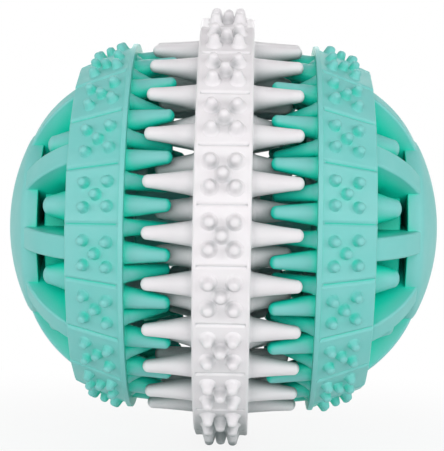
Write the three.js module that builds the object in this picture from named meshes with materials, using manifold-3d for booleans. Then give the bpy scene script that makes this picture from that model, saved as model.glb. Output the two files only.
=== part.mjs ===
// Hollow rubber chew ball: a white middle ring between two mint end shells.
// Millimetres, +Z up. The ball's axis is X and its origin is the middle of the ball.
// Angles run about +X from the front, which faces -Y, towards the underside.

import * as THREE from "three";
import { mergeVertices } from "three/addons/utils/BufferGeometryUtils.js";
import Module from "manifold-3d";

// Middle ring: a wheel of flat panels on a rim, a web and a hub
const ringPanels = 24;
const ringFlatRadius = 33.15;
const ringWidth = 8.3;
const rimDepth = 11.65;
const webThickness = 4;
const hubWall = 3;
const hubLength = 11;
const socketFloor = 3;

// Stud pattern of a ring panel: four studs round one, with flat tips
const ringStudHeight = 1.85;
const ringStudBase = 2.1;
const ringStudTip = 1;
const ringStudAlong = 1.85;
const ringStudAround = 1.94;

// White fingers: one at the middle of each panel, and one lower in each gap
const whiteFingerSetback = 5.1;
const whiteFingerFlare = 0.55;
const whiteFingerRoot = 3.9;
const whiteFingerTip = 1.8;
const whiteFingerShort = 2.25;
const whiteLowRootDrop = 3.05;
const whiteLowRoot = 4;
const whiteLowTip = 2.2;
const whiteLowShort = 3.75;

// End shell: a lip, a band of flat panels, a cap, ribs between them, a drum behind the ribs and a stem
const shellPanels = 20;
const ringToBandGap = 9.75;
const lipStep = 3.95;
const lipWidth = 0.75;
const bandLength = 8.8;
const panelSink = 0.55;
const panelFall = 3.3;
const windowLength = 5.45;
const capRadius = 14.8;
const capRimHeight = 2.2;
const capCrown = 3.9;
const capShoulder = 1.2;
const stemRadius = 6;
const drumRadius = 13.4;
const drumSlot = 0.9;

// Ribs: fins from the band to the cap, one at every second panel
const panelsPerRib = 2;
const ribThickness = 3.5;
const ribBulge = 1.05;
const ribFootStep = 2;
const ribHeadInset = 1.2;

// Stud pattern of a shell panel, set a little towards the lip
const shellStudHeight = 1.38;
const shellStudBase = 1.8;
const shellStudTip = 1;
const shellStudAlong = 1.91;
const shellStudAround = 1.82;
const shellStudForward = 0.65;

// Mint fingers that mesh with the white ones, an outer row and an inner row
const mintFingerInset = 3.2;
const mintFingerFlare = 1.6;
const mintFingerRoot = 3.4;
const mintFingerTip = 1.8;
const mintFingerShort = 3;
const mintLowDrop = 2.9;
const mintLowRoot = 2.7;
const mintLowTip = 1.7;
const mintLowShort = 3.3;
const mintLowTurn = 0.6;

// Mint fingers behind the band: a stout one in each window
const capFingerInset = 8.25;
const capFingerRoot = 5.2;
const capFingerTip = 2.2;
const capFingerLength = 4.3;

// Fits: the glue line round a stem, the ring's place between the shells, the least gap between crossing
// fingers and the set of the shells
const glueGap = 0.3;
const ringOffset = 0.3;
const fingerClearance = 0.75;
const seatTwist = 0.8;
const leftSeatPitches = 0.5;
const rightSeatPitches = 7.5;

// How far a finger, stud or rib runs into the body that it grows from
const rootSink = 1.2;
const studSink = 0.5;
const ribSink = 0.8;

// Rounding of a finger's end, as shares of its tip radius
const tipRoundLength = 0.7;
const tipFlatRadius = 0.55;

// Sides of the round shapes
const outerFingerSides = 6;
const lowFingerSides = 5;
const studSides = 5;
const lipSides = 40;
const capSides = 40;
const capSteps = 5;
const shoulderSteps = 2;
const ribSteps = 4;
const weldDistance = 1e-4;

// Sizes that follow from the ones above
const fingerPitch = 360 / ringPanels;
const shellPitch = 360 / shellPanels;
const ringFace = ringWidth / 2;
const bandFace = ringFace + ringToBandGap;
const bandBack = bandFace + bandLength;
const lipRadius = ringFlatRadius - lipStep;
const lipBack = bandFace + lipWidth;
const panelFrontRadius = lipRadius - panelSink;
const bandBackRadius = panelFrontRadius - panelFall;
const capUnderside = bandBack + windowLength;
const capEdge = capUnderside + capRimHeight;
const crownRadius = (capRadius ** 2 + capCrown ** 2) / (2 * capCrown);
const crownCentre = capEdge + capCrown - crownRadius;
const socketRadius = stemRadius + glueGap;
const hubRadius = socketRadius + hubWall;
const stemEnd = socketFloor / 2 + glueGap + ringOffset;
const drumEnd = capUnderside - drumSlot;

const wasm = await Module();
wasm.setup();

const mintRubber = new THREE.MeshStandardMaterial({ color: 0x6fc4b4, roughness: 0.62, metalness: 0 });
const whiteRubber = new THREE.MeshStandardMaterial({ color: 0xeeedf0, roughness: 0.6, metalness: 0 });

// A closed three.js geometry as a solid that can be joined and cut
function solid(geometry) {
  const bare = new THREE.BufferGeometry();
  bare.setAttribute("position", geometry.getAttribute("position"));
  bare.setIndex(geometry.getIndex());
  const welded = mergeVertices(bare, weldDistance);
  const corners = welded.getIndex().array;
  const triangles = [];
  for (let i = 0; i < corners.length; i += 3) {
    const [a, b, c] = corners.slice(i, i + 3);
    if (a !== b && b !== c && c !== a) {
      triangles.push(a, b, c);
    }
  }
  return new wasm.Manifold(new wasm.Mesh({
    numProp: 3,
    vertProperties: new Float32Array(welded.getAttribute("position").array),
    triVerts: new Uint32Array(triangles),
  }));
}

function join(solids) {
  return solids.reduce((whole, next) => whole.add(next));
}

function namedMesh(name, body, material) {
  const { vertProperties, triVerts } = body.getMesh();
  const geometry = new THREE.BufferGeometry();
  geometry.setAttribute("position", new THREE.BufferAttribute(vertProperties, 3));
  geometry.setIndex(new THREE.BufferAttribute(triVerts, 1));
  geometry.computeVertexNormals();
  const mesh = new THREE.Mesh(geometry, material);
  mesh.name = name;
  return mesh;
}

// An outline of [axial, radius] points turned about X, with its flats at those radii
function revolve(outline, sides) {
  const cornerReach = 1 / Math.cos(Math.PI / sides);
  const points = outline.map(([axial, radius]) => new THREE.Vector2(radius * cornerReach, axial));
  const firstCorner = Math.PI / 2 + Math.PI / sides;
  const turned = new THREE.LatheGeometry(points, sides, firstCorner, 2 * Math.PI);
  return solid(turned.rotateZ(-Math.PI / 2));
}

function polar(axial, radius, degrees) {
  const angle = THREE.MathUtils.degToRad(degrees);
  return new THREE.Vector3(axial, -radius * Math.cos(angle), -radius * Math.sin(angle));
}

// A taper from below its root to its tip, standing on the root along the given direction
function taper(root, direction, length, rootRadius, tipRadius, sink, sides, roundedTip) {
  const growth = (rootRadius - tipRadius) / length;
  const outline = [
    new THREE.Vector2(0, -sink),
    new THREE.Vector2(rootRadius + growth * sink, -sink),
    new THREE.Vector2(tipRadius, roundedTip ? length - tipRadius * tipRoundLength : length),
  ];
  if (roundedTip) {
    outline.push(new THREE.Vector2(tipRadius * tipFlatRadius, length));
  }
  outline.push(new THREE.Vector2(0, length));
  const upright = new THREE.Vector3(0, 1, 0);
  const turn = new THREE.Quaternion().setFromUnitVectors(upright, direction.clone().normalize());
  const placed = new THREE.LatheGeometry(outline, sides);
  return solid(placed.applyQuaternion(turn).translate(root.x, root.y, root.z));
}

function finger(root, tip, rootDiameter, tipDiameter, sides, roundedTip) {
  const run = tip.clone().sub(root);
  return taper(root, run, run.length(), rootDiameter / 2, tipDiameter / 2, rootSink, sides, roundedTip);
}

// A ring of fingers, from [axial, radius] of the root to [axial, radius] of the tip
function fingerRow({ count, firstAngle, root, tip, rootDiameter, tipDiameter, sides, roundedTip }) {
  const row = [];
  for (let i = 0; i < count; i += 1) {
    const angle = firstAngle + (i * 360) / count;
    const start = polar(...root, angle);
    const end = polar(...tip, angle);
    row.push(finger(start, end, rootDiameter, tipDiameter, sides, roundedTip));
  }
  return row;
}

// Five studs on a flat panel, as on the five face of a die, square to the panel
function panelStuds({ middle, along, around, normal, spacingAlong, spacingAround, height, base, tip }) {
  const places = [[0, 0], [-1, -1], [-1, 1], [1, -1], [1, 1]];
  return places.map(([a, b]) => {
    const foot = middle.clone();
    foot.addScaledVector(along, a * spacingAlong);
    foot.addScaledVector(around, b * spacingAround);
    return taper(foot, normal, height, base / 2, tip / 2, studSink, studSides, false);
  });
}

function ringStuds() {
  const studs = [];
  for (let i = 0; i < ringPanels; i += 1) {
    const angle = i * fingerPitch;
    studs.push(...panelStuds({
      middle: polar(0, ringFlatRadius, angle),
      along: new THREE.Vector3(1, 0, 0),
      around: polar(0, 1, angle + 90),
      normal: polar(0, 1, angle),
      spacingAlong: ringStudAlong,
      spacingAround: ringStudAround,
      height: ringStudHeight,
      base: ringStudBase,
      tip: ringStudTip,
    }));
  }
  return studs;
}

function shellStuds() {
  const run = bandBack - lipBack;
  const slant = Math.hypot(run, panelFall);
  const studs = [];
  for (let i = 0; i < shellPanels; i += 1) {
    const angle = i * shellPitch;
    const along = polar(run / slant, -panelFall / slant, angle);
    const middle = polar((lipBack + bandBack) / 2, (panelFrontRadius + bandBackRadius) / 2, angle);
    studs.push(...panelStuds({
      middle: middle.addScaledVector(along, -shellStudForward),
      along,
      around: polar(0, 1, angle + 90),
      normal: polar(panelFall / slant, run / slant, angle),
      spacingAlong: shellStudAlong,
      spacingAround: shellStudAround,
      height: shellStudHeight,
      base: shellStudBase,
      tip: shellStudTip,
    }));
  }
  return studs;
}

// Places of the mint outer fingers, which the white low fingers pass under
const mintRootRadius = lipRadius - mintFingerInset;
const mintTipRadius = mintRootRadius + mintFingerFlare;
const mintTipAxial = ringFace + mintFingerShort;

// The white low fingers lean in just enough to pass under the mint tips
function whiteLowTipRadius(rootRadius, tipAxial) {
  const shareAtMintTip = (mintTipAxial - ringFace) / (tipAxial - ringFace);
  const halfThere = THREE.MathUtils.lerp(whiteLowRoot, whiteLowTip, shareAtMintTip) / 2;
  const passRadius = mintTipRadius - mintFingerTip / 2 - fingerClearance - halfThere;
  return rootRadius - (rootRadius - passRadius) / shareAtMintTip;
}

function whiteFingers(side) {
  const rootRadius = ringFlatRadius - whiteFingerSetback;
  const lowRootRadius = rootRadius - whiteLowRootDrop;
  const lowTipAxial = bandFace - whiteLowShort;
  const outerRow = fingerRow({
    count: ringPanels,
    firstAngle: 0,
    root: [side * ringFace, rootRadius],
    tip: [side * (bandFace - whiteFingerShort), rootRadius + whiteFingerFlare],
    rootDiameter: whiteFingerRoot,
    tipDiameter: whiteFingerTip,
    sides: outerFingerSides,
    roundedTip: true,
  });
  const lowRow = fingerRow({
    count: ringPanels,
    firstAngle: fingerPitch / 2,
    root: [side * ringFace, lowRootRadius],
    tip: [side * lowTipAxial, whiteLowTipRadius(lowRootRadius, lowTipAxial)],
    rootDiameter: whiteLowRoot,
    tipDiameter: whiteLowTip,
    sides: lowFingerSides,
    roundedTip: false,
  });
  return [...outerRow, ...lowRow];
}

// Rim, web and hub of the middle ring, with a blind socket in each end of the hub
function ringWheel() {
  const rimInside = ringFlatRadius - rimDepth;
  const web = webThickness / 2;
  const hubEnd = hubLength / 2;
  const floor = socketFloor / 2;
  return revolve([
    [-floor, 0],
    [-floor, socketRadius],
    [-hubEnd, socketRadius],
    [-hubEnd, hubRadius],
    [-web, hubRadius],
    [-web, rimInside],
    [-ringFace, rimInside],
    [-ringFace, ringFlatRadius],
    [ringFace, ringFlatRadius],
    [ringFace, rimInside],
    [web, rimInside],
    [web, hubRadius],
    [hubEnd, hubRadius],
    [hubEnd, socketRadius],
    [floor, socketRadius],
    [floor, 0],
  ], ringPanels);
}

function centreRing() {
  const body = join([ringWheel(), ...whiteFingers(-1), ...whiteFingers(1), ...ringStuds()]);
  const ring = namedMesh("centre_ring", body, whiteRubber);
  ring.position.x = ringOffset;
  return ring;
}

// The band's flat panels, behind a round lip on the edge that faces the ring
function shellBand() {
  const lip = revolve([
    [bandFace, 0],
    [bandFace, lipRadius],
    [lipBack, lipRadius],
    [lipBack, 0],
  ], lipSides);
  const panels = revolve([
    [bandFace + lipWidth / 2, 0],
    [bandFace + lipWidth / 2, panelFrontRadius],
    [lipBack, panelFrontRadius],
    [bandBack, bandBackRadius],
    [bandBack, 0],
  ], shellPanels);
  return lip.add(panels);
}

// The domed cap, the drum behind the ribs and the stem that is glued into the ring's hub
function shellCapAndStem() {
  const crownSpan = Math.asin(capRadius / crownRadius);
  const crown = (share) => {
    const angle = crownSpan * share;
    return [crownCentre + crownRadius * Math.cos(angle), crownRadius * Math.sin(angle)];
  };
  const shoulderStart = 1 - capShoulder / capRadius;
  const shoulder = new THREE.QuadraticBezierCurve(
    new THREE.Vector2(capEdge - capShoulder, capRadius),
    new THREE.Vector2(capEdge, capRadius),
    new THREE.Vector2(...crown(shoulderStart)),
  );
  const flatStem = stemRadius * Math.cos(Math.PI / capSides);
  const outline = [
    [stemEnd, 0],
    [stemEnd, flatStem],
    [bandBack - ribSink, flatStem],
    [bandBack - ribSink, drumRadius],
    [drumEnd, drumRadius],
    [drumEnd, flatStem],
    [capUnderside, flatStem],
    [capUnderside, capRadius],
    ...shoulder.getPoints(shoulderSteps).map((point) => point.toArray()),
  ];
  for (let i = 1; i < capSteps; i += 1) {
    outline.push(crown(shoulderStart * (1 - i / capSteps)));
  }
  outline.push(crown(0));
  return revolve(outline, capSides);
}

// One fin from the stem out, drawn in the plane of the axis and turned to its panel
function rib(angle) {
  const headRadius = capRadius - ribHeadInset;
  const headAxial = crownCentre + Math.sqrt(crownRadius ** 2 - headRadius ** 2);
  const foot = new THREE.Vector2(bandBack, bandBackRadius - ribFootStep);
  const chord = new THREE.Vector2(headAxial, headRadius).sub(foot);
  const out = new THREE.Vector2(-chord.y, chord.x).normalize();
  const buried = stemRadius - ribSink;
  const outline = [
    new THREE.Vector2(bandBack - ribSink, buried),
    new THREE.Vector2(capUnderside + ribSink, buried),
    new THREE.Vector2(capUnderside + ribSink, headRadius - ribSink),
    new THREE.Vector2(headAxial - ribSink, headRadius - ribSink),
  ];
  for (let i = 0; i <= ribSteps; i += 1) {
    const share = 1 - i / ribSteps;
    const point = foot.clone().addScaledVector(chord, share);
    outline.push(point.addScaledVector(out, ribBulge * 4 * share * (1 - share)));
  }
  outline.push(new THREE.Vector2(bandBack - ribSink, foot.y));
  const shape = new THREE.Shape(outline);
  const fin = new THREE.ExtrudeGeometry(shape, { depth: ribThickness, bevelEnabled: false });
  fin.translate(0, 0, -ribThickness / 2);
  fin.rotateX(Math.PI + THREE.MathUtils.degToRad(angle));
  return solid(fin);
}

function shellRibs() {
  const ribs = [];
  for (let panel = 0; panel < shellPanels; panel += panelsPerRib) {
    ribs.push(rib(panel * shellPitch));
  }
  return ribs;
}

function mintFingers() {
  const outerRow = fingerRow({
    count: ringPanels,
    firstAngle: 0,
    root: [bandFace, mintRootRadius],
    tip: [mintTipAxial, mintTipRadius],
    rootDiameter: mintFingerRoot,
    tipDiameter: mintFingerTip,
    sides: outerFingerSides,
    roundedTip: true,
  });
  const lowRow = fingerRow({
    count: ringPanels,
    firstAngle: fingerPitch / 2 + mintLowTurn,
    root: [bandFace, mintRootRadius],
    tip: [ringFace + mintLowShort, mintRootRadius - mintLowDrop],
    rootDiameter: mintLowRoot,
    tipDiameter: mintLowTip,
    sides: lowFingerSides,
    roundedTip: false,
  });
  return [...outerRow, ...lowRow];
}

function capFingers() {
  const rootRadius = bandBackRadius - capFingerInset;
  return fingerRow({
    count: shellPanels / panelsPerRib,
    firstAngle: shellPitch,
    root: [bandBack, rootRadius],
    tip: [bandBack + capFingerLength, rootRadius],
    rootDiameter: capFingerRoot,
    tipDiameter: capFingerTip,
    sides: outerFingerSides,
    roundedTip: true,
  });
}

// Both shells are the same moulding, with the pole towards +X
function shellBody() {
  return join([
    shellCapAndStem(),
    ...shellRibs(),
    shellBand(),
    ...mintFingers(),
    ...capFingers(),
    ...shellStuds(),
  ]);
}

const moulding = shellBody();

// The right shell's fingers stand in the white gaps, turned by the twist that the glue left
const rightShell = namedMesh("right_end_shell", moulding, mintRubber);
rightShell.rotation.x = THREE.MathUtils.degToRad(rightSeatPitches * fingerPitch + seatTwist);

// The left shell is turned end for end, then set round until its fingers stand in the gaps too
const leftShell = namedMesh("left_end_shell", moulding, mintRubber);
const leftTurn = leftSeatPitches * fingerPitch - seatTwist;
leftShell.rotation.set(THREE.MathUtils.degToRad(leftTurn), 0, Math.PI);

const chewBall = new THREE.Group();
chewBall.name = "chew_ball";
chewBall.add(leftShell, centreRing(), rightShell);

export default chewBall;
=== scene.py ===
import math

import bmesh
import bpy
import numpy as np
from mathutils import Matrix, Quaternion, Vector


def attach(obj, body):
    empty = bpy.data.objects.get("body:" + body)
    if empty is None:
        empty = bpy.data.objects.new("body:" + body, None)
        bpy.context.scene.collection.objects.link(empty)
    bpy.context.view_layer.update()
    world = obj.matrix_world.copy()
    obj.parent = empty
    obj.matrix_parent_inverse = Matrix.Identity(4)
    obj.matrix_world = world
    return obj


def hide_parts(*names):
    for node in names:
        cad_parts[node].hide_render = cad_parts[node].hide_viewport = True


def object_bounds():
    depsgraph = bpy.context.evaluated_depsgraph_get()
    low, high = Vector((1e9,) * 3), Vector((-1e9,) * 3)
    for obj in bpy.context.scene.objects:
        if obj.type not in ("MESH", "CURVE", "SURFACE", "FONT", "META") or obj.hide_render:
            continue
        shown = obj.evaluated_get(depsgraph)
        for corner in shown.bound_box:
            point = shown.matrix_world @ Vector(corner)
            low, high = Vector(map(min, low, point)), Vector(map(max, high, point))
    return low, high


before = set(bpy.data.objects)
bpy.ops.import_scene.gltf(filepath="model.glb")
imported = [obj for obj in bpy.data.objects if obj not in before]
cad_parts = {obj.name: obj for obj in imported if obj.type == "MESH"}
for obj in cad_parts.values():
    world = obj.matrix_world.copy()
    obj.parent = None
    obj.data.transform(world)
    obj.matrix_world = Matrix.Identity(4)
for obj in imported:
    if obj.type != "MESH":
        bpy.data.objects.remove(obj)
cad_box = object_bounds()

# Hollow rubber chew ball: a white middle ring between two mint end shells.
# Sizes are in millimetres and angles in degrees. The ball's axis is X.
# Angles run about +X from the front, which faces -Y, towards the underside.
MM = 0.001

# Middle ring
ring_panels = 24
ring_flat_radius = 33.15
ring_width = 8.3
rim_depth = 11.65
ring_edge_round = 0.4
web_thickness = 4
hub_wall = 3
hub_length = 11
socket_floor = 3

# Studs of a ring panel. A fillet is how far it spreads at the root and how far up it dies out.
ring_stud_height = 1.85
ring_stud_root = 2.15
ring_stud_tip = 1.11
ring_stud_end = 0.55
ring_stud_fillet = (0.23, 0.45)
ring_stud_along = 1.85
ring_stud_around = 1.94

# White fingers, one at the middle of each panel and a lower one in each gap
white_finger_setback = 5.1
white_finger_lift = 0.55
white_finger_root = 3.9
white_finger_tip = 1.8
white_finger_short = 2.25
white_low_drop = 3.05
white_low_root = 4
white_low_tip = 2.2
white_low_short = 3.75

# End shell: panelled band, drum, cap and stem
shell_panels = 20
ring_to_band = 9.75
lip_step = 3.95
lip_width = 0.75
lip_round = 0.16
band_length = 8.8
panel_sink = 0.55
panel_fall = 3.3
panel_back_round = 0.3
window_length = 5.45
cap_radius = 14.8
cap_rim_height = 2.2
cap_crown = 3.9
cap_shoulder = 1.2
cap_edge_round = 0.22
stem_radius = 6
drum_radius = 13.4
drum_slot = 0.9
drum_edge_round = 0.3

# Ribs from the band to the cap
panels_per_rib = 2
rib_thickness = 3.5
rib_bulge = 0.95
rib_foot_step = 2.1
rib_head_inset = 1.2
rib_head_sink = 0.4
rib_sink = 0.8
rib_edge_round = 0.4

# Studs of a shell panel
shell_stud_height = 1.38
shell_stud_root = 1.76
shell_stud_tip = 1.07
shell_stud_end = 0.47
shell_stud_fillet = (0.08, 0.3)
shell_stud_along = 1.91
shell_stud_around = 1.82
shell_stud_forward = 0.65

# Mint fingers that mesh with the white ones
mint_finger_inset = 3.2
mint_finger_lift = 1.6
mint_finger_root = 3.4
mint_finger_tip = 1.8
mint_finger_short = 3
mint_low_drop = 2.9
mint_low_root = 2.7
mint_low_tip = 1.7
mint_low_short = 3.3
mint_low_turn = 0.6

# Stout mint fingers in the windows between the ribs
cap_finger_inset = 8.25
cap_finger_root = 5.2
cap_finger_tip = 2.2
cap_finger_length = 4.3

# Fits, and how far each shell is turned against the ring: finger pitches and a small twist
glue_gap = 0.3
ring_offset = 0.3
finger_clearance = 0.75
seat_twist = 0.8
left_seat_pitches = 0.5
right_seat_pitches = 7.5

# Grooves between panels: half width and depth
ring_groove = (0.34, 0.34)
band_groove = (0.42, 0.5)

# Section of a groove beside its bottom: shares of its half width and of its depth
groove_section = [(0.5, 0.5), (1.0, 0.08), (1.4, 0.0)]

# A ring groove ends this far from the rim's rounded edge, and rises over the same length
ring_groove_end = 0.12

# Band grooves: the shares of a panel's length where they are at full depth,
# and the share of the band's back where they have run out
band_groove_full = (0.04, 0.5)
band_groove_out = 0.12

# Points across the flat of a panel, as shares of its half width
flat_stations = (-0.4, 0, 0.4)

# Roots of fingers and studs: the white fingers' fillet, the curve of a fillet, and the buried foot
finger_fillet = (0.14, 0.6)
fillet_curve = 2.4
fillet_crowding = 1.3
finger_sink = 0.8
stud_sink = 0.3
foot_flare = 0.1

# How hollow a taper is, and how high a finger's round end is as a share of its half width
hollow_taper = 1.25
straight_taper = 1
finger_end_share = 0.95

# Smoothness of the round shapes. A peg has steps up its fillet, its taper and its round end.
finger_sides = 24
low_finger_sides = 18
stud_sides = 18
cap_sides = 144
round_steps = 4
round_profile = 0.5
finger_steps = (5, 5, 5)
stud_steps = (3, 2, 4)
crown_steps = 14
rib_steps = 14
weld_distance = 0.0001
crease_angle = 38

# Finish of both rubbers: mottling and grain, whose scales count to the metre
mottle_scale = 210
mottle_detail = 3
mottle_tint_range = (0.35, 0.65)
mottle_tint_share = (0.3, 1)
mottle_rough_range = (0.3, 0.7)
mottle_rough_share = (0.9, 1.1)
grain_scale = 5200
grain_detail = 2
grain_strength = 0.12
grain_depth = 0.05
rubber_gloss = 0.3

# Painted shade in the hollows: how far off a wall still closes a place in, and the openness at which a
# painted black pit starts and is fully black
hollow_reach = 9
hollow_samples = 8
painted_pit_openness = (0.18, 0.02)

# Colours and values of each rubber, with painted shade: the shade colour is blended in from its start to
# its end share of openness
mint_colours_and_painted_shade = {
    "Face Colour": (0.232, 0.63, 0.605, 1),
    "Tint Colour": (0.178, 0.605, 0.565, 1),
    # A saturated green painted as shade into the mint's hollows
    "Painted Shade Colour": (0, 0.72, 0.53, 1),
    "Tint": 0.6,
    "Depth": 1,
    "Painted Shade Start": 0.72,
    "Painted Shade End": 0.36,
    "Painted Black Pits": 0.8,
    "Roughness": 0.46,
}
white_colours_and_painted_shade = {
    "Face Colour": (0.86, 0.845, 0.86, 1),
    "Tint Colour": (0.86, 0.81, 0.84, 1),
    # A dark grey painted as shade around the white's studs and low fingers
    "Painted Shade Colour": (0.2, 0.25, 0.25, 1),
    "Tint": 0.5,
    "Depth": 0.95,
    "Painted Shade Start": 0.68,
    "Painted Shade End": 0.12,
    "Painted Black Pits": 0,
    "Roughness": 0.46,
}

# Camera, in the photograph's view
camera_distance = 240.5
camera_azimuth = 0.9
camera_elevation = 2.2
camera_roll = 1
camera_aim = (-0.23, 0, 0.18)
camera_lens = 118.6
camera_sensor = 36
camera_nearest = 10

# Studio lights: place, width, and power in watts
soft_boxes = {
    "left_box": ((-550, -350, 50), 400, 1.4),
    "right_box": ((550, -350, 50), 400, 1.65),
    "front_box": ((0, -750, 80), 500, 2.8),
    "top_box": ((0, -150, 600), 500, 0.15),
    "back_box": ((0, 750, 300), 500, 2.4),
}
even_light = 0.32

# Floor: half its width, its grey, how far out its white glow starts to rise and is full,
# and the share of the glow that is left near the ball
floor_half = 1500
floor_grey = 0.9
floor_glow_start = 40
floor_glow_full = 100
floor_glow_least = 0.88

# Sizes that follow from the ones above
finger_pitch = 360 / ring_panels
shell_pitch = 360 / shell_panels
ring_face = ring_width / 2
band_face = ring_face + ring_to_band
band_back = band_face + band_length
lip_radius = ring_flat_radius - lip_step
lip_back = band_face + lip_width
panel_front_radius = lip_radius - panel_sink
band_back_radius = panel_front_radius - panel_fall
cap_underside = band_back + window_length
cap_edge = cap_underside + cap_rim_height
crown_radius = (cap_radius ** 2 + cap_crown ** 2) / (2 * cap_crown)
crown_centre = cap_edge + cap_crown - crown_radius
socket_radius = stem_radius + glue_gap
hub_radius = socket_radius + hub_wall
stem_end = socket_floor / 2 + glue_gap + ring_offset
drum_end = cap_underside - drum_slot
mint_root_radius = lip_radius - mint_finger_inset
mint_tip_radius = mint_root_radius + mint_finger_lift
mint_tip_axial = ring_face + mint_finger_short


def mix(start, end, share):
    return start + (end - start) * share


def arch(share):
    """1 at the middle of a span and 0 at its ends."""
    return 4 * share * (1 - share)


def polar(axial, radius, degrees):
    angle = math.radians(degrees)
    return np.array([axial, -radius * math.cos(angle), -radius * math.sin(angle)])


def turned_about_axis(surface, degrees):
    points, faces = surface
    turn = np.array(Matrix.Rotation(math.radians(degrees), 3, "X"))
    return points @ turn.T, faces


def joined(surfaces):
    points, faces, start = [], [], 0
    for part_points, part_faces in surfaces:
        points.append(part_points)
        faces.extend([corner + start for corner in face] for face in part_faces)
        start += len(part_points)
    return np.concatenate(points), faces


def corner_arc(corner, before, after, reach):
    """Points that round a corner of an outline, starting and ending that reach from it."""
    corner, before, after = (np.array(point, float) for point in (corner, before, after))
    start = corner + reach * (before - corner) / np.linalg.norm(before - corner)
    end = corner + reach * (after - corner) / np.linalg.norm(after - corner)
    arc = []
    for step in range(round_steps + 1):
        share = step / round_steps
        arc.append(tuple(mix(mix(start, corner, share), mix(corner, end, share), share)))
    return arc


def turned_peg(outline, sides, foot, axis):
    """A closed turned peg from (height, radius) rows, from its buried foot to a tip of no radius."""
    near_upright = 0.7
    axis = np.array(axis, float) / np.linalg.norm(axis)
    helper = np.array([0.0, 0.0, 1.0] if abs(axis[2]) < near_upright else [0.0, 1.0, 0.0])
    side = np.cross(axis, helper)
    side /= np.linalg.norm(side)
    other = np.cross(axis, side)
    turn = np.linspace(0, 2 * math.pi, sides, endpoint=False)
    circle = np.outer(np.cos(turn), side) + np.outer(np.sin(turn), other)
    rows = [foot + height * axis + radius * circle for height, radius in outline[:-1]]
    points = np.concatenate(rows + [[foot + outline[-1][0] * axis]])
    tip = len(points) - 1
    faces = [list(range(sides))[::-1]]
    for row in range(len(rows) - 1):
        low, high = row * sides, (row + 1) * sides
        for i in range(sides):
            j = (i + 1) % sides
            faces.append([low + i, low + j, high + j, high + i])
    last = (len(rows) - 1) * sides
    faces.extend([last + i, last + (i + 1) % sides, tip] for i in range(sides))
    return points, faces


def peg_outline(length, root_width, tip_width, hollow, fillet, sink, end_height, steps):
    """Rows of (height, radius) up a tapered peg: a buried foot, a fillet at its root and a round end."""
    spread, rise = fillet
    fillet_steps, taper_steps, end_steps = steps
    shoulder = length - end_height

    def radius_at(height):
        taper = mix(tip_width, root_width, (1 - height / length) ** hollow) / 2
        return taper + spread * max(0, 1 - height / rise) ** fillet_curve

    heights = [rise * (step / fillet_steps) ** fillet_crowding for step in range(fillet_steps)]
    heights += [mix(rise, shoulder, step / taper_steps) for step in range(taper_steps + 1)]
    outline = [(-sink, radius_at(0) + foot_flare)]
    outline += [(height, radius_at(height)) for height in heights]
    for step in range(1, end_steps):
        angle = math.radians(90 * step / end_steps)
        outline.append((shoulder + end_height * math.sin(angle), radius_at(shoulder) * math.cos(angle)))
    outline.append((length, 0))
    return outline


def finger(root, tip, root_width, tip_width, hollow, sides):
    """A tapered finger. Its fillet spreads in proportion to its root."""
    run = tip - root
    spread, rise = finger_fillet
    fillet = (spread * root_width / white_finger_root, rise)
    end_height = finger_end_share * tip_width / 2
    outline = peg_outline(
        np.linalg.norm(run), root_width, tip_width, hollow, fillet, finger_sink, end_height, finger_steps,
    )
    return turned_peg(outline, sides, root, run)


def finger_row(count, first_angle, root, tip, root_width, tip_width, hollow, sides):
    """Fingers round the axis, from (axial, radius) of the root to (axial, radius) of the tip."""
    fingers = []
    for i in range(count):
        angle = first_angle + i * 360 / count
        start, end = polar(*root, angle), polar(*tip, angle)
        fingers.append(finger(start, end, root_width, tip_width, hollow, sides))
    return fingers


def panel_studs(middle, along, around, out, spacing_along, spacing_around, outline):
    """Five studs set as on the five face of a die."""
    studs = []
    for step_along, step_around in [(0, 0), (-1, -1), (-1, 1), (1, -1), (1, 1)]:
        place = middle + step_along * spacing_along * along + step_around * spacing_around * around
        studs.append(turned_peg(outline, stud_sides, place, out))
    return studs


def on_circle(point, radius):
    reach = math.hypot(point[1], point[2])
    return np.array([point[0], point[1] * radius / reach, point[2] * radius / reach])


def panelled_ring(outline, panels, groove, closed=True):
    """A ring of flat panels with grooves between them.

    Its outline is (axial, radius, groove share) rows, which run towards -X on the outside.
    Rows with no share are round.
    """
    groove_width, groove_depth = groove
    half_pitch = math.pi / panels
    points = []
    for axial, radius, share in outline:
        half = radius * math.tan(half_pitch)
        dip = groove_depth * (share or 0)
        for panel in range(panels):
            angle = 2 * half_pitch * panel
            corner_angle = angle - half_pitch
            out = np.array([0, -math.cos(angle), -math.sin(angle)])
            around = np.array([0, math.sin(angle), -math.cos(angle)])
            corner_out = np.array([0, -math.cos(corner_angle), -math.sin(corner_angle)])
            middle = np.array([axial, 0, 0]) + radius * out
            corner = middle - half * around - dip * corner_out
            flat = [middle + place * half * around for place in flat_stations]
            left, right = [], []
            for width, fall in groove_section:
                aside = (half - width * groove_width) * around
                left.append(middle - aside - dip * fall * out)
                right.append(middle + aside - dip * fall * out)
            stations = [corner] + left + flat + right[::-1]
            if share is None and radius:
                stations = [on_circle(point, radius) for point in stations]
            points.extend(stations)
    around_count = len(points) // len(outline)
    faces = []
    for row in range(len(outline) if closed else len(outline) - 1):
        low, high = row * around_count, ((row + 1) % len(outline)) * around_count
        for i in range(around_count):
            j = (i + 1) % around_count
            faces.append([low + i, high + i, high + j, low + j])
    return np.array(points), faces


def with_share(rows, share):
    return [(axial, radius, share) for axial, radius in rows]


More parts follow.
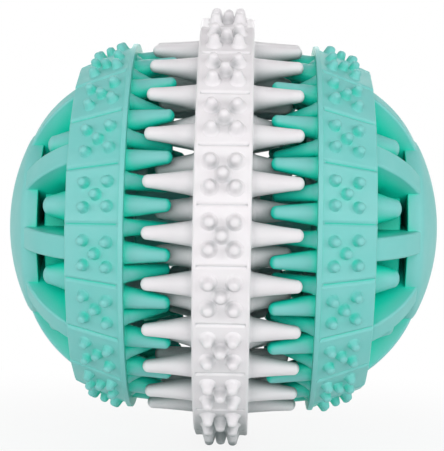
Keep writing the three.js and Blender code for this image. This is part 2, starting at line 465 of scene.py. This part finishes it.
def ring_wheel():
    """Rim, web and hub of the middle ring, with a blind socket in each end of the hub."""
    rim_inside = ring_flat_radius - rim_depth
    web, hub_end, socket_bottom = web_thickness / 2, hub_length / 2, socket_floor / 2
    top = (ring_face, ring_flat_radius)
    edge = corner_arc(top, (ring_face, rim_inside), (0, ring_flat_radius), ring_edge_round)
    groove_end = ring_face - ring_edge_round - ring_groove_end
    half = with_share([
        (socket_bottom, 0), (socket_bottom, socket_radius),
        (hub_end, socket_radius), (hub_end, hub_radius),
        (web, hub_radius), (web, rim_inside), (ring_face, rim_inside),
    ], None)
    half += with_share(edge, 0)
    half += [(groove_end, ring_flat_radius, 0), (groove_end - ring_groove_end, ring_flat_radius, 1)]
    mirrored = [(-axial, radius, share) for axial, radius, share in half[::-1]]
    outline = half + [(0, ring_flat_radius, 1)] + mirrored
    return panelled_ring(outline, ring_panels, ring_groove, closed=False)


def ring_studs():
    outline = peg_outline(
        ring_stud_height, ring_stud_root, ring_stud_tip, straight_taper,
        ring_stud_fillet, stud_sink, ring_stud_end, stud_steps,
    )
    along = np.array([1, 0, 0])
    studs = []
    for panel in range(ring_panels):
        angle = panel * finger_pitch
        middle = polar(0, ring_flat_radius, angle)
        around, out = polar(0, 1, angle + 90), polar(0, 1, angle)
        studs += panel_studs(middle, along, around, out, ring_stud_along, ring_stud_around, outline)
    return studs


def white_low_tip_radius(root_radius, tip_axial):
    """The white low fingers lean in just enough to pass under the mint tips."""
    share = (mint_tip_axial - ring_face) / (tip_axial - ring_face)
    half_there = mix(white_low_root, white_low_tip, share) / 2
    pass_radius = mint_tip_radius - mint_finger_tip / 2 - finger_clearance - half_there
    return root_radius - (root_radius - pass_radius) / share


def white_fingers(side):
    root_radius = ring_flat_radius - white_finger_setback
    low_root = root_radius - white_low_drop
    low_tip_axial = band_face - white_low_short
    outer = finger_row(
        ring_panels, 0, (side * ring_face, root_radius),
        (side * (band_face - white_finger_short), root_radius + white_finger_lift),
        white_finger_root, white_finger_tip, hollow_taper, finger_sides,
    )
    low = finger_row(
        ring_panels, finger_pitch / 2, (side * ring_face, low_root),
        (side * low_tip_axial, white_low_tip_radius(low_root, low_tip_axial)),
        white_low_root, white_low_tip, straight_taper, low_finger_sides,
    )
    return outer + low


def shell_band():
    """The band of flat panels behind a round lip on the edge that faces the ring."""
    lip_front, lip_end = (band_face, lip_radius), (lip_back, lip_radius)
    panel_front, panel_back = (lip_back, panel_front_radius), (band_back, band_back_radius)
    lip = [(band_face, stem_radius)]
    lip += corner_arc(lip_front, (band_face, stem_radius), lip_end, lip_round)
    lip += corner_arc(lip_end, lip_front, panel_front, lip_round)
    panel_edge = corner_arc(panel_back, panel_front, (band_back, stem_radius), panel_back_round)
    outline = with_share(lip, None)
    outline.append((*panel_front, 0))
    for share in band_groove_full:
        outline.append((*mix(np.array(panel_front), np.array(panel_back), share), 1))
    outline += with_share(panel_edge, 1)
    outline.append((band_back, mix(band_back_radius, stem_radius, band_groove_out), 0))
    outline.append((band_back, stem_radius, None))
    return panelled_ring(outline[::-1], shell_panels, band_groove)


def shell_cap_and_stem():
    """The stem that is glued into the ring's hub, the drum behind the windows and the domed cap."""
    crown_span = math.asin(cap_radius / crown_radius)

    def crown(share):
        angle = crown_span * share
        return (crown_centre + crown_radius * math.cos(angle), crown_radius * math.sin(angle))

    under_edge = (cap_underside, cap_radius)
    drum_foot, drum_edge = (band_back - rib_sink, drum_radius), (drum_end, drum_radius)
    outline = [(stem_end, stem_radius), (band_back - rib_sink, stem_radius), drum_foot]
    outline += corner_arc(drum_edge, drum_foot, (drum_end, stem_radius), drum_edge_round)
    outline += [(drum_end, stem_radius), (cap_underside, stem_radius)]
    outline += corner_arc(under_edge, (cap_underside, stem_radius), (cap_edge, cap_radius), cap_edge_round)
    shoulder_start = 1 - cap_shoulder / cap_radius
    outline += corner_arc((cap_edge, cap_radius), under_edge, crown(shoulder_start), cap_shoulder)
    for step in range(1, crown_steps):
        outline.append(crown(shoulder_start * (1 - step / crown_steps)))
    outline.append((cap_edge + cap_crown, 0))
    return turned_peg(outline, cap_sides, np.zeros(3), np.array([1, 0, 0]))


def rib_outline():
    """A rib's side view as (axial, radius) points. Its back bulges on the way from band to crown."""
    foot = np.array([band_back, band_back_radius - rib_foot_step])
    head_radius = cap_radius - rib_head_inset
    head_axial = crown_centre + math.sqrt(crown_radius ** 2 - head_radius ** 2) - rib_head_sink
    chord = np.array([head_axial, head_radius]) - foot
    out = np.array([-chord[1], chord[0]]) / np.linalg.norm(chord)
    outline = [
        (band_back - rib_sink, stem_radius - rib_sink),
        (cap_underside + rib_sink, stem_radius - rib_sink),
        (cap_underside + rib_sink, head_radius - rib_sink),
        (head_axial - rib_sink, head_radius - rib_sink),
    ]
    for step in range(rib_steps + 1):
        share = 1 - step / rib_steps
        outline.append(tuple(foot + chord * share + out * rib_bulge * arch(share)))
    outline.append((band_back - rib_sink, foot[1]))
    return outline


def rib():
    """One fin from the band to the cap, with rounded edges."""
    fin = bmesh.new()
    near = [fin.verts.new((axial, -radius, -rib_thickness / 2)) for axial, radius in rib_outline()]
    grown = bmesh.ops.extrude_face_region(fin, geom=[fin.faces.new(near)])["geom"]
    far = [part for part in grown if isinstance(part, bmesh.types.BMVert)]
    bmesh.ops.translate(fin, vec=(0, 0, rib_thickness), verts=far)
    fin.normal_update()
    rims = []
    for edge in fin.edges:
        start, end = edge.verts
        if abs(start.co.z - end.co.z) < rib_thickness / 2:
            rims.append(edge)
    bmesh.ops.bevel(
        fin, geom=rims, offset=rib_edge_round, segments=round_steps, profile=round_profile, affect="EDGES",
    )
    bmesh.ops.recalc_face_normals(fin, faces=fin.faces)
    fin.verts.index_update()
    points = np.array([vert.co for vert in fin.verts])
    faces = [[vert.index for vert in face.verts] for face in fin.faces]
    fin.free()
    return points, faces


def shell_ribs():
    one = rib()
    ribbed_panels = range(0, shell_panels, panels_per_rib)
    return [turned_about_axis(one, panel * shell_pitch) for panel in ribbed_panels]


def shell_studs():
    outline = peg_outline(
        shell_stud_height, shell_stud_root, shell_stud_tip, straight_taper,
        shell_stud_fillet, stud_sink, shell_stud_end, stud_steps,
    )
    run = band_length - lip_width
    slant = math.hypot(run, panel_fall)
    studs = []
    for panel in range(shell_panels):
        angle = panel * shell_pitch
        along = polar(run / slant, -panel_fall / slant, angle)
        around, out = polar(0, 1, angle + 90), polar(panel_fall / slant, run / slant, angle)
        panel_middle = polar((lip_back + band_back) / 2, (panel_front_radius + band_back_radius) / 2, angle)
        middle = panel_middle - shell_stud_forward * along
        studs += panel_studs(middle, along, around, out, shell_stud_along, shell_stud_around, outline)
    return studs


def mint_fingers():
    outer = finger_row(
        ring_panels, 0, (band_face, mint_root_radius), (mint_tip_axial, mint_tip_radius),
        mint_finger_root, mint_finger_tip, straight_taper, finger_sides,
    )
    low = finger_row(
        ring_panels, finger_pitch / 2 + mint_low_turn, (band_face, mint_root_radius),
        (ring_face + mint_low_short, mint_root_radius - mint_low_drop),
        mint_low_root, mint_low_tip, straight_taper, low_finger_sides,
    )
    return outer + low


def cap_fingers():
    root_radius = band_back_radius - cap_finger_inset
    root, tip = (band_back, root_radius), (band_back + cap_finger_length, root_radius)
    return finger_row(
        shell_panels // panels_per_rib, shell_pitch, root, tip,
        cap_finger_root, cap_finger_tip, straight_taper, finger_sides,
    )


def end_shell():
    """One mint moulding, with its pole towards +X."""
    return joined([
        shell_cap_and_stem(), *shell_ribs(), shell_band(),
        *mint_fingers(), *cap_fingers(), *shell_studs(),
    ])


def centre_ring():
    """The white moulding, with its middle at the origin."""
    return joined([ring_wheel(), *white_fingers(-1), *white_fingers(1), *ring_studs()])


def moulding(name, surface, seat, material, node):
    """One moulding, put in its seat, with smooth rounds and even flats."""
    points, faces = surface
    mesh = bpy.data.meshes.new(name)
    mesh.from_pydata((points * MM).tolist(), [], faces)
    clean = bmesh.new()
    clean.from_mesh(mesh)
    bmesh.ops.remove_doubles(clean, verts=clean.verts, dist=weld_distance * MM)
    clean.to_mesh(mesh)
    clean.free()
    mesh.transform(seat)
    mesh.materials.append(material)
    mesh.update()
    mesh.shade_smooth()
    mesh.set_sharp_from_angle(angle=math.radians(crease_angle))
    piece = bpy.data.objects.new(name, mesh)
    bpy.context.scene.collection.objects.link(piece)
    flats = piece.modifiers.new("even_flats", "WEIGHTED_NORMAL")
    flats.keep_sharp = True
    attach(piece, "root")
    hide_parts(node)


def rubber_skin_and_painted_shade():
    """Finish shared by both rubbers: painted shade that deepens the colour and paints the pits black in the
    hollows, faint mottling and a fine grain.
    """
    group = bpy.data.node_groups.new("rubber_skin_and_painted_shade", "ShaderNodeTree")
    sockets = group.interface
    for label in ("Face Colour", "Tint Colour", "Painted Shade Colour"):
        sockets.new_socket(label, in_out="INPUT", socket_type="NodeSocketColor")
    for label in ("Tint", "Painted Shade Start", "Painted Shade End", "Depth", "Painted Black Pits", "Roughness"):
        sockets.new_socket(label, in_out="INPUT", socket_type="NodeSocketFloat")
    sockets.new_socket("Colour", in_out="OUTPUT", socket_type="NodeSocketColor")
    for label in ("Roughness", "Height"):
        sockets.new_socket(label, in_out="OUTPUT", socket_type="NodeSocketFloat")
    nodes, links = group.nodes, group.links
    given, result = nodes.new("NodeGroupInput"), nodes.new("NodeGroupOutput")
    place = nodes.new("ShaderNodeTexCoord")

    def noise(scale, detail):
        texture = nodes.new("ShaderNodeTexNoise")
        texture.inputs["Scale"].default_value = scale
        texture.inputs["Detail"].default_value = detail
        links.new(place.outputs["Object"], texture.inputs["Vector"])
        return texture.outputs["Fac"]

    def mapped(value, source, target):
        span = nodes.new("ShaderNodeMapRange")
        span.inputs["From Min"].default_value, span.inputs["From Max"].default_value = source
        span.inputs["To Min"].default_value, span.inputs["To Max"].default_value = target
        links.new(value, span.inputs["Value"])
        return span.outputs["Result"]

    def times(first, second):
        product = nodes.new("ShaderNodeMath")
        product.operation = "MULTIPLY"
        links.new(first, product.inputs[0])
        links.new(second, product.inputs[1])
        return product.outputs["Value"]

    def blended(share, first, second):
        blend = nodes.new("ShaderNodeMix")
        blend.data_type = "RGBA"
        links.new(share, blend.inputs["Factor"])
        links.new(first, blend.inputs["A"])
        links.new(second, blend.inputs["B"])
        return blend.outputs["Result"]

    mottle = noise(mottle_scale, mottle_detail)
    grain = noise(grain_scale, grain_detail)
    # Painted shade: the colour is blended towards the shade colour where walls close a place in, and
    # painted black in the deepest pits
    hollow = nodes.new("ShaderNodeAmbientOcclusion")
    hollow.inputs["Distance"].default_value = hollow_reach * MM
    hollow.samples = hollow_samples
    openness = hollow.outputs["AO"]
    shade = nodes.new("ShaderNodeMapRange")
    links.new(openness, shade.inputs["Value"])
    links.new(given.outputs["Painted Shade Start"], shade.inputs["From Min"])
    links.new(given.outputs["Painted Shade End"], shade.inputs["From Max"])
    painted_black = nodes.new("ShaderNodeRGB")
    painted_black.outputs["Color"].default_value = (0, 0, 0, 1)
    tint = times(mapped(mottle, mottle_tint_range, mottle_tint_share), given.outputs["Tint"])
    painted_shade_share = times(shade.outputs["Result"], given.outputs["Depth"])
    painted_pit_share = times(mapped(openness, painted_pit_openness, (0, 1)), given.outputs["Painted Black Pits"])
    roughness = times(mapped(mottle, mottle_rough_range, mottle_rough_share), given.outputs["Roughness"])
    face = blended(tint, given.outputs["Face Colour"], given.outputs["Tint Colour"])
    colour_with_painted_shade = blended(painted_shade_share, face, given.outputs["Painted Shade Colour"])
    links.new(blended(painted_pit_share, colour_with_painted_shade, painted_black.outputs["Color"]), result.inputs["Colour"])
    links.new(roughness, result.inputs["Roughness"])
    links.new(grain, result.inputs["Height"])
    return group


def rubber(name, shared_skin_and_shade, own_colours_and_shade):
    """One rubber: the shared skin with its painted shade, and this rubber's own colours and values."""
    material = bpy.data.materials.new(name)
    material.use_nodes = True
    nodes, links = material.node_tree.nodes, material.node_tree.links
    shader = nodes["Principled BSDF"]
    shader.inputs["Specular IOR Level"].default_value = rubber_gloss
    surface = nodes.new("ShaderNodeGroup")
    surface.node_tree = shared_skin_and_shade
    for label, value in own_colours_and_shade.items():
        surface.inputs[label].default_value = value
    bump = nodes.new("ShaderNodeBump")
    bump.inputs["Strength"].default_value = grain_strength
    bump.inputs["Distance"].default_value = grain_depth * MM
    links.new(surface.outputs["Colour"], shader.inputs["Base Color"])
    links.new(surface.outputs["Roughness"], shader.inputs["Roughness"])
    links.new(surface.outputs["Height"], bump.inputs["Height"])
    links.new(bump.outputs["Normal"], shader.inputs["Normal"])
    return material


def place_camera():
    """The photograph's view: from the front, a little above and to the right of the ball's middle."""
    turn, rise = math.radians(camera_azimuth), math.radians(camera_elevation)
    camera = bpy.data.objects.new("camera", bpy.data.cameras.new("camera"))
    camera.data.lens = camera_lens
    camera.data.sensor_width = camera_sensor
    camera.data.clip_start = camera_nearest * MM
    camera.location = camera_distance * MM * Vector((
        math.cos(rise) * math.sin(turn), -math.cos(rise) * math.cos(turn), math.sin(rise),
    ))
    look = (Vector(camera_aim) * MM - camera.location).to_track_quat("-Z", "Y")
    camera.rotation_mode = "QUATERNION"
    camera.rotation_quaternion = look @ Quaternion((0, 0, 1), math.radians(camera_roll))
    bpy.context.scene.collection.objects.link(camera)
    bpy.context.scene.camera = camera


def soft_box(name, place, width, power):
    """A square studio light that faces the ball."""
    light = bpy.data.lights.new(name, "AREA")
    light.shape = "SQUARE"
    light.size = width * MM
    light.energy = power
    lamp = bpy.data.objects.new(name, light)
    lamp.location = Vector(place) * MM
    lamp.rotation_euler = (-Vector(place)).to_track_quat("-Z", "Y").to_euler()
    bpy.context.scene.collection.objects.link(lamp)


def background_share(nodes, links):
    """1 where the background is seen: straight on, in a gloss or through something clear."""
    path = nodes.new("ShaderNodeLightPath")
    share = path.outputs["Is Camera Ray"]
    for way in ("Is Glossy Ray", "Is Transmission Ray"):
        either = nodes.new("ShaderNodeMath")
        either.operation = "MAXIMUM"
        links.new(share, either.inputs[0])
        links.new(path.outputs[way], either.inputs[1])
        share = either.outputs["Value"]
    return share


def lit_surroundings():
    """A white background, and an even soft light on the ball."""
    world = bpy.data.worlds.new("studio")
    bpy.context.scene.world = world
    world.use_nodes = True
    nodes, links = world.node_tree.nodes, world.node_tree.links
    backdrop = nodes["Background"]
    backdrop.inputs["Color"].default_value = (1, 1, 1, 1)
    level = nodes.new("ShaderNodeMapRange")
    level.inputs["To Min"].default_value = even_light
    level.inputs["To Max"].default_value = 1
    links.new(background_share(nodes, links), level.inputs["Value"])
    links.new(level.outputs["Result"], backdrop.inputs["Strength"])


def pale_floor():
    """A matt pale floor that glows white where it is seen, a little less near the ball for its shadow."""
    material = bpy.data.materials.new("pale_floor")
    material.use_nodes = True
    nodes, links = material.node_tree.nodes, material.node_tree.links
    nodes.remove(nodes["Principled BSDF"])
    matt = nodes.new("ShaderNodeBsdfDiffuse")
    matt.inputs["Color"].default_value = (floor_grey, floor_grey, floor_grey, 1)
    glow = nodes.new("ShaderNodeEmission")
    place = nodes.new("ShaderNodeTexCoord")
    distance = nodes.new("ShaderNodeVectorMath")
    distance.operation = "LENGTH"
    links.new(place.outputs["Object"], distance.inputs[0])
    fade = nodes.new("ShaderNodeMapRange")
    fade.interpolation_type = "SMOOTHSTEP"
    fade.inputs["From Min"].default_value = floor_glow_start * MM
    fade.inputs["From Max"].default_value = floor_glow_full * MM
    fade.inputs["To Min"].default_value = floor_glow_least
    links.new(distance.outputs["Value"], fade.inputs["Value"])
    share = nodes.new("ShaderNodeMath")
    share.operation = "MULTIPLY"
    links.new(fade.outputs["Result"], share.inputs[0])
    links.new(background_share(nodes, links), share.inputs[1])
    mixed = nodes.new("ShaderNodeMixShader")
    links.new(share.outputs["Value"], mixed.inputs["Fac"])
    links.new(matt.outputs["BSDF"], mixed.inputs[1])
    links.new(glow.outputs["Emission"], mixed.inputs[2])
    links.new(mixed.outputs["Shader"], nodes["Material Output"].inputs["Surface"])
    return material


def floor():
    """The floor under the ball's lowest studs."""
    half = floor_half * MM
    level = cad_box[0][2]
    mesh = bpy.data.meshes.new("floor")
    corners = [(-half, -half, level), (half, -half, level), (half, half, level), (-half, half, level)]
    mesh.from_pydata(corners, [], [(0, 1, 2, 3)])
    mesh.materials.append(pale_floor())
    ground = bpy.data.objects.new("floor", mesh)
    bpy.context.scene.collection.objects.link(ground)


shared_skin_and_shade = rubber_skin_and_painted_shade()
mint_rubber = rubber("mint_rubber", shared_skin_and_shade, mint_colours_and_painted_shade)
white_rubber = rubber("white_rubber", shared_skin_and_shade, white_colours_and_painted_shade)

shell = end_shell()
left_turn = math.radians(left_seat_pitches * finger_pitch - seat_twist)
right_turn = math.radians(right_seat_pitches * finger_pitch + seat_twist)
left_seat = Matrix.Rotation(left_turn, 4, "X") @ Matrix.Rotation(math.pi, 4, "Z")
ring_seat = Matrix.Translation((ring_offset * MM, 0, 0))
right_seat = Matrix.Rotation(right_turn, 4, "X")
moulding("left_shell_moulding", shell, left_seat, mint_rubber, "left_end_shell")
moulding("ring_moulding", centre_ring(), ring_seat, white_rubber, "centre_ring")
moulding("right_shell_moulding", shell, right_seat, mint_rubber, "right_end_shell")

place_camera()
for name, (place, width, power) in soft_boxes.items():
    soft_box(name, place, width, power)
lit_surroundings()
floor()

bpy.context.scene.view_settings.view_transform = "Standard"
